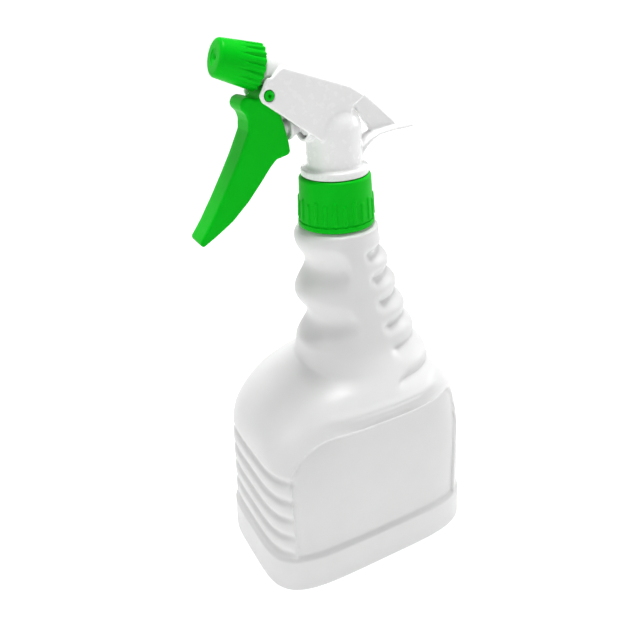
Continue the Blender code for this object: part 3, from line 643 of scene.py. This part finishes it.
    def panel_distance(self, x: np.ndarray, z: np.ndarray) -> np.ndarray:
        """Distance outside the label panel's outline, a rectangle whose two top corners are round.

        Args:
            x: places along the bottle.
            z: heights.

        Returns:
            The distance, negative inside the outline.
        """
        low, high = self.skirt_height + 0.8, self.panel_top
        corner = np.where(x < 0.0, *self.panel_corners)
        corner = np.where(z < (low + high) / 2.0, 0.5, corner)
        qx = np.abs(x) - self.panel_half + corner
        qz = np.abs(z - (low + high) / 2.0) - (high - low) / 2.0 + corner
        return np.minimum(np.maximum(qx, qz), 0.0) + np.hypot(np.maximum(qx, 0.0), np.maximum(qz, 0.0)) - corner

    def skin(self) -> np.ndarray:
        """Outside of the bottle.

        Each ring is a superellipse whose reach follows the height. The front valleys and grooves push it back,
        the scallops' notches draw it in, and the panels' bead, recess and ridge are Gaussian or smooth steps in
        the distance from the panel's outline.

        Returns:
            Points of shape (heights, around, 3).
        """
        heights = np.concatenate([
            self.foot_round * (1.0 - np.cos(np.linspace(0.0, math.pi / 2.0, 8))),
            np.linspace(self.foot_round + 0.9, self.shoulder + 5.0, 126),
            np.linspace(self.shoulder + 5.7, self.neck_foot - 2.0, 104),
            np.linspace(self.neck_foot - 1.7, self.neck_foot, 8),
        ])
        z = heights[:, None]
        angle = angles(self.around)
        c, s = np.cos(angle), np.sin(angle)
        front, back, side, power = self.reaches(z)
        stand_out = self.skirt(z)
        reach, centre = (front + back) / 2.0 + stand_out, (back - front) / 2.0
        side = side + stand_out
        size = (np.abs(c / reach) ** power + np.abs(s / side) ** power) ** (-1.0 / power)
        x, y = centre + size * c, size * s
        along, across = size * c / reach, np.abs(y) / side
        grip = ease(z, self.shoulder, self.shoulder + 8.0)
        wrap = (1.0 - grip) * ease(np.abs(along), *self.rib_wrap) + grip * ease(np.abs(along), *self.groove_wrap)
        x = x + np.where(c < 0.0, wrap * (self.front_ribs(z) + self.finger_grooves(z)), 0.0)
        notch = np.where(c > 0.0, ease(np.abs(along), *self.scallop_wrap) * self.scallop_notches(z), 0.0)
        x, y = x - notch * c, y - notch * s
        off = self.panel_distance(x, z)
        face = ease(across, 0.66, 0.84)
        bead = self.bead_rise * np.exp(-((off / self.bead_width) ** 2))
        bead = bead - self.panel_recess * (1.0 - ease(off, -1.8, 0.0))
        ridge = self.ridge_rise * np.exp(-(((off - self.ridge_offset) / self.ridge_width) ** 2)) * ease(z, 58.0, 70.0)
        y = y + np.sign(y) * (face * bead + ease(across, 0.80, 0.95) * ridge)
        return np.stack([x, y, np.broadcast_to(z, x.shape)], axis=-1)

    def neck(self) -> np.ndarray:
        """Outside of the neck: circles, with the thread as a ridge on them and a wider ring at the foot.

        Returns:
            Points of shape (heights, around, 3).
        """
        z = np.concatenate([[self.neck_foot + 0.1], np.linspace(self.neck_foot + 1.4, self.mouth, 44)])[:, None]
        angle = angles(self.around)
        radius = self.neck_radius + THREAD_RISE * thread_ridge(z, angle, self.mouth - 8.5)
        radius = np.where(z < self.neck_foot + 0.2, self.neck_radius + 1.6, radius)
        return ringed(radius, angle, z)

    def inside(self, outside: np.ndarray) -> np.ndarray:
        """Inside wall, from the mouth down: outside rings, drawn in by the wall's thickness.

        Args:
            outside: points of the outside.

        Returns:
            Points of the inside, ring by ring.
        """
        bore = self.neck_radius - self.wall
        rings = outside[::-1][6::7]
        middle = rings.mean(axis=1, keepdims=True)
        away = rings - middle
        size = np.linalg.norm(away[..., :2], axis=-1, keepdims=True)
        drawn = rings - away / size * (self.wall + 1.3)
        drawn = drawn[(drawn[:, 0, 2] < self.neck_foot - 4.0) & (drawn[:, 0, 2] > 3.5)]
        floor = drawn[-1] * (0.97, 0.97, 1.0) * (1.0, 1.0, 0.0) + (0.0, 0.0, self.wall + 0.6)
        neck = turned([(bore, self.mouth), (bore, self.neck_foot - 1.0)], self.around)
        return np.concatenate([neck, drawn, floor[None]])

    def underside(self, foot: np.ndarray) -> np.ndarray:
        """Points under the bottle: the foot's ring shrunk to each share of itself and lifted.

        Args:
            foot: the lowest ring of the outside.

        Returns:
            Rings from the middle pad out over the recess to the rim.
        """
        shares = ((0.2, 0.0), (0.29, 0.0), (0.33, 0.9), (0.36, 1.0), (0.74, 1.0), (0.77, 0.8), (0.8, 0.0), (0.9, 0.0))
        return np.stack([foot * (share, share, 0.0) + (0.0, 0.0, high) for share, high in shares])

    def build(self, finishes: Finishes) -> None:
        """Makes and dresses the bottle.

        Args:
            finishes: the materials.
        """
        outside = self.skin()
        points = np.concatenate([self.underside(outside[0]), outside, self.neck(), self.inside(outside)])
        piece = grid_mesh("bottle_skin", points * MM, wrapped=False, capped=True)
        dressed(piece, Body.BOTTLE, Slot.BOTTLE, finishes.milk, "bottle")


# ---------------------------------------------------------------- collar


@dataclass
class ScrewCollar:
    """Screw collar: plain flared band, upright ribs of two heights below it, a groove and a foot bead."""

    foot: float = 173.0
    height: float = 21.5
    foot_radius: float = 17.0
    top_radius: float = 15.9
    ribs: int = 24
    rib_rise: float = 0.55
    bead: float = 2.3
    top_rounding: float = 1.2
    lip: float = 2.0
    well: float = 14.4

    def outside(self) -> np.ndarray:
        """Outside: a flared turned wall, a groove over the foot bead, and a narrow hump at each rib's angle.

        Returns:
            Points of shape (heights, around, 3).
        """
        up = np.concatenate([
            np.array([0.0, 0.12, 0.4, 0.8]), np.linspace(1.1, self.height - 1.4, 62),
            self.height - self.top_rounding * (1.0 - np.sin(np.linspace(0.1, math.pi / 2.0, 7))),
        ])[:, None]
        angle = angles(self.ribs * 16)
        share = up / self.height
        radius = self.foot_radius - (self.foot_radius - self.top_radius) * share**0.8
        foot_round = 0.45 * (1.0 - ease(up, 0.0, 0.6))
        groove = 0.55 * ease(up, self.bead - 0.3, self.bead) * (1.0 - ease(up, self.bead + 0.15, self.bead + 0.6))
        band = 0.35 * ease(up, self.bead - 0.1, self.bead + 0.5)
        over = np.clip(up - (self.height - self.top_rounding), 0.0, self.top_rounding)
        top_round = self.top_rounding - np.sqrt(np.maximum(self.top_rounding**2 - over**2, 0.0))
        rib = angle / TURN * self.ribs
        hump = 1.0 - ease(np.abs(rib - np.round(rib)), 0.10, 0.26)
        tall = np.round(rib) % 2 == 0
        end = np.where(tall, 0.60, 0.53) * self.height
        climb = ease(up, self.bead + 0.5, self.bead + 1.1) * (1.0 - ease(up, end - 0.5, end + 0.5))
        radius = radius - foot_round - groove - band - top_round + self.rib_rise * hump * climb
        return ringed(radius, angle, up + self.foot)

    def build(self, finishes: Finishes) -> None:
        """Makes and dresses the collar; inside are the top hole, the lip and the threaded well.

        Args:
            finishes: the materials.
        """
        outside = self.outside()
        around = outside.shape[1]
        top = self.foot + self.height
        under_lip = top - self.lip
        hole = [(14.6, top), (12.2, top - 0.3), (12.2, under_lip), (self.well, under_lip)]
        z = np.linspace(under_lip - 0.4, self.foot + 0.4, 40)[:, None]
        angle = angles(around)
        thread = ringed(self.well - THREAD_RISE * thread_ridge(z, angle, self.foot + 5.0), angle, z)
        rim = turned([(self.well, self.foot + 0.2), (self.well + 0.4, self.foot)], around)
        points = np.concatenate([outside, turned(hole, around), thread, rim])
        piece = grid_mesh("screw_collar_skin", points * MM, wrapped=True, capped=False)
        dressed(piece, Body.COLLAR, Slot.GREEN, finishes.green, "screw_collar")


# ---------------------------------------------------------------- nozzle


@dataclass
class NozzleCap:
    """Twist cap: plain tapered front with a round shoulder; pointed flutes widen towards its rear rim."""

    length: float = 17.6
    rear_radius: float = 8.9
    front_radius: float = 7.2
    shoulder: float = 1.6
    flutes: int = 18
    flute_depth: float = 0.7
    flute_reach: float = 11.5
    orifice: float = 0.5
    tilt: float = 18.0
    x: float = -31.8
    z: float = 240.6

    def place(self) -> Matrix:
        """Placing matrix whose Z runs forwards along the nozzle from the middle of the rear rim."""
        return Matrix.Translation((self.x, 0.0, self.z)) @ Matrix.Rotation(math.radians(self.tilt - 90.0), 4, "Y")

    def outside(self) -> np.ndarray:
        """Points of the outside: a cone with a round front shoulder, less a hollow for each flute.

        A flute's hollow is a raised cosine across its width, and both its width and its depth grow from a
        point in front to the rear rim.

        Returns:
            Points of shape (places along, around, 3).
        """
        lip = self.length - self.shoulder
        bend = np.linspace(0.0, math.pi / 2.0, 9)[1:]
        along = np.concatenate([[0.0, 0.12, 0.4], np.linspace(0.8, lip, 52), lip + self.shoulder * np.sin(bend)])
        inset = np.concatenate([[0.45, 0.15, 0.0], np.zeros(52), self.shoulder * (1.0 - np.cos(bend))])
        s = along[:, None]
        angle = angles(self.flutes * 22)
        taper = (self.rear_radius - self.front_radius) / lip
        radius = self.rear_radius - taper * np.minimum(s, lip) - inset[:, None]
        opened = np.clip(1.0 - s / self.flute_reach, 0.0, 1.0)
        width = 0.06 + 0.40 * opened**0.8
        flute = angle / TURN * self.flutes
        off = np.clip(np.abs(flute - np.round(flute)) / width, 0.0, 1.0)
        radius = radius - self.flute_depth * ease(opened, 0.0, 0.7) * (0.5 + 0.5 * np.cos(math.pi * off))
        return ringed(radius, angle, s)

    def build(self, finishes: Finishes) -> None:
        """Makes and dresses the cap: outside, sunken orifice, then the stepped bore back to the rear rim.

        Args:
            finishes: the materials.
        """
        outside = self.outside()
        front, face = self.length, self.length - 4.4
        bore = [
            (3.2, front), (3.0, front - 0.25), (1.5, front - 0.35), (0.8, front - 0.8),
            (self.orifice, front - 1.0), (self.orifice, face), (5.8, face), (5.8, 7.1), (6.2, 6.5), (6.2, 0.3),
            (6.6, 0.0), (7.8, 0.0),
        ]
        points = np.concatenate([outside, turned(bore, outside.shape[1])])
        piece = grid_mesh("nozzle_cap_skin", placed(points, self.place()) * MM, wrapped=True, capped=False)
        dressed(piece, Body.NOZZLE_CAP, Slot.GREEN, finishes.green, "nozzle_cap")


# ---------------------------------------------------------------- spray head and pump


@dataclass
class SprayHead:
    """White moulding of the head and the parts of the pump inside it."""

    grain: float = 0.42 * MM
    passes: int = 5

    def build(self, finishes: Finishes) -> None:
        """Makes the head's fine skin and finishes the pump's pieces.

        Args:
            finishes: the materials.
        """
        head = softened_copy("spray_head", "spray_head_skin", self.grain, self.passes)
        dressed(head, Body.HEAD, Slot.WHITE, finishes.white, "spray_head")
        for node in ("tube_retainer", "dip_tube", "dip_strainer", "valve_seat", "swirl_insert"):
            repainted(node, finishes.natural)
        for node in ("neck_gasket", "nozzle_seal_ring", "nozzle_washer", "piston_cup_seal", "piston_vent_seal"):
            repainted(node, finishes.seal)
        for node in ("suction_ball", "outlet_ball"):
            repainted(node, finishes.steel)


@dataclass
class Spring:
    """Steel coil, a copy of its node's shape.

    Args:
        node: node that it stands for.
        joint: joint that presses it; not used.
        way: direction in which it would shorten; not used.
        end: its fixed end; not used.
        keep: share of its length to leave at the joint's limit; not used.
    """

    node: str
    joint: str
    way: Point
    end: Point
    keep: float

    def build(self, finishes: Finishes) -> None:
        """Makes and dresses the coil.

        Args:
            finishes: the materials.
        """
        coil = finished(f"{self.node}_coil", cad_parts[self.node].data.copy())
        dressed(coil, Body.HEAD, Slot.STEEL, finishes.steel, self.node)
        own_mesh(coil)


@dataclass
class Plunger:
    """White plunger that the trigger pushes."""

    grain: float = 0.25 * MM
    passes: int = 2

    def build(self, finishes: Finishes) -> None:
        """Makes and dresses the plunger."""
        piece = softened_copy("piston", "piston_skin", self.grain, self.passes)
        dressed(piece, Body.PISTON, Slot.WHITE, finishes.white, "piston")


@dataclass
class Trigger:
    """Green lever with soft edges."""

    grain: float = 0.36 * MM
    passes: int = 6

    def build(self, finishes: Finishes) -> None:
        """Makes and dresses the trigger."""
        piece = softened_copy("trigger", "trigger_skin", self.grain, self.passes)
        dressed(piece, Body.TRIGGER, Slot.GREEN, finishes.green, "trigger")


# ---------------------------------------------------------------- studio


@dataclass(frozen=True)
class Lamp:
    """Square soft light: its name, place, side and power, in metres and watts."""

    name: str
    place: Point
    side: float
    power: float


@dataclass
class Studio:
    """Plain pale floor, soft lights and the camera."""

    eye: Point = (-0.1397, -0.2536, 0.2770)
    target: Point = (-0.0084, 0.0046, 0.1238)
    lens: float = 38.8
    roll: float = -0.0527
    dim_way: Point = (-0.85, -0.52, 0.0)
    glow: float = 0.76
    dim_glow: float = 0.30
    sky: float = 0.12
    lamps: tuple[Lamp, ...] = (
        Lamp("top_light", (0.05, 0.05, 1.15), 0.35, 11.5),
        Lamp("right_light", (0.95, -0.10, 0.40), 0.3, 1.7),
        Lamp("front_light", (-1.00, -0.20, 0.65), 0.3, 2.0),
    )

    def paper(self, name: str, roughness: float, glow: float) -> Nodes:
        """Starts a material for pale paper that glows a little.

        Args:
            name: material name.
            roughness: its roughness.
            glow: strength of its own light.

        Returns:
            The material's nodes, with no base colour yet.
        """
        nodes = Nodes(name)
        nodes.shader.inputs["Roughness"].default_value = roughness
        nodes.shader.inputs["Emission Color"].default_value = (1.0, 1.0, 1.0, 1.0)
        nodes.shader.inputs["Emission Strength"].default_value = glow
        return nodes

    def floor(self) -> None:
        """Lays the floor, a wide disc whose rim curves up into a wall all round, dimmer on one side."""
        floor = grid_mesh("studio_floor", turned([
            (0.002, 0.0), (3.4, 0.0), (3.8, 0.06), (4.05, 0.3), (4.15, 0.8), (4.2, 2.6), (4.3, 2.6), (4.3, -0.01),
            (0.002, -0.01),
        ], 64), wrapped=False, capped=True)
        plain = self.paper("studio_paper", 0.9, self.glow)
        tint = plain.spread(plain.noise(6.0, 2.0), 0.0, 1.0)
        plain.link(plain.blend(tint, (0.50, 0.50, 0.50), (0.52, 0.52, 0.52)), plain.shader.inputs["Base Color"])
        dim = self.paper("studio_dim_side", 0.5, self.dim_glow)
        dim.shader.inputs["Base Color"].default_value = (0.4, 0.4, 0.4, 1.0)
        floor.data.materials.append(plain.made)
        floor.data.materials.append(dim.made)
        middles = np.empty(len(floor.data.polygons) * 3)
        floor.data.polygons.foreach_get("center", middles)
        middles = middles.reshape(-1, 3)
        dim_side = (middles[:, 2] > 0.02) & (middles @ np.array(self.dim_way) > 0.0)
        floor.data.polygons.foreach_set("material_index", dim_side.astype(np.int32))

    def light(self, lamp: Lamp) -> None:
        """Adds a light that faces the bottle.

        Args:
            lamp: the light.
        """
        light = bpy.data.lights.new(lamp.name, "AREA")
        light.size = lamp.side
        light.energy = lamp.power
        made = bpy.data.objects.new(lamp.name, light)
        made.location = lamp.place
        made.rotation_mode = "QUATERNION"
        made.rotation_quaternion = (Vector(lamp.place) - Vector(self.target)).to_track_quat("Z", "Y")
        bpy.context.scene.collection.objects.link(made)

    def surroundings(self) -> None:
        """Fills the room with even pale light."""
        world = bpy.data.worlds.new("pale_room")
        world.use_nodes = True
        background = world.node_tree.nodes["Background"]
        background.inputs["Color"].default_value = (1.0, 1.0, 1.0, 1.0)
        background.inputs["Strength"].default_value = self.sky
        bpy.context.scene.world = world

    def camera(self) -> None:
        """Sets the camera at its place, looking at the target and rolled a little."""
        forward = (Vector(self.target) - Vector(self.eye)).normalized()
        level = forward.cross(Vector((0.0, 0.0, 1.0))).normalized()
        upright = level.cross(forward)
        right = math.cos(self.roll) * level + math.sin(self.roll) * upright
        up = math.cos(self.roll) * upright - math.sin(self.roll) * level
        lens = bpy.data.cameras.new("camera")
        lens.lens = self.lens
        lens.sensor_width = 36.0
        lens.clip_start = 0.01
        made = bpy.data.objects.new("camera", lens)
        made.matrix_world = Matrix.Translation(self.eye) @ Matrix((right, up, -forward)).transposed().to_4x4()
        bpy.context.scene.collection.objects.link(made)
        bpy.context.scene.camera = made

    def build(self) -> None:
        """Makes the studio."""
        self.floor()
        self.surroundings()
        for lamp in self.lamps:
            self.light(lamp)
        self.camera()
        bpy.context.scene.view_settings.view_transform = "Standard"


def main() -> None:
    """Builds the studio and each sub-assembly, in order."""
    logging.basicConfig(level=logging.INFO, format="%(message)s")
    Studio().build()
    finishes = Finishes()
    Bottle().build(finishes)
    ScrewCollar().build(finishes)
    SprayHead().build(finishes)
    Spring("return_spring", "piston_slide", (1.0, 0.0, 0.0), (4.2, 0.0, 217.0), 0.42).build(finishes)
    Spring("outlet_spring", "outlet_ball_lift", NOZZLE_WAY, (-37.7, 0.0, 242.5), 0.86).build(finishes)
    Plunger().build(finishes)
    Trigger().build(finishes)
    NozzleCap().build(finishes)


if __name__ == "__main__":
    main()
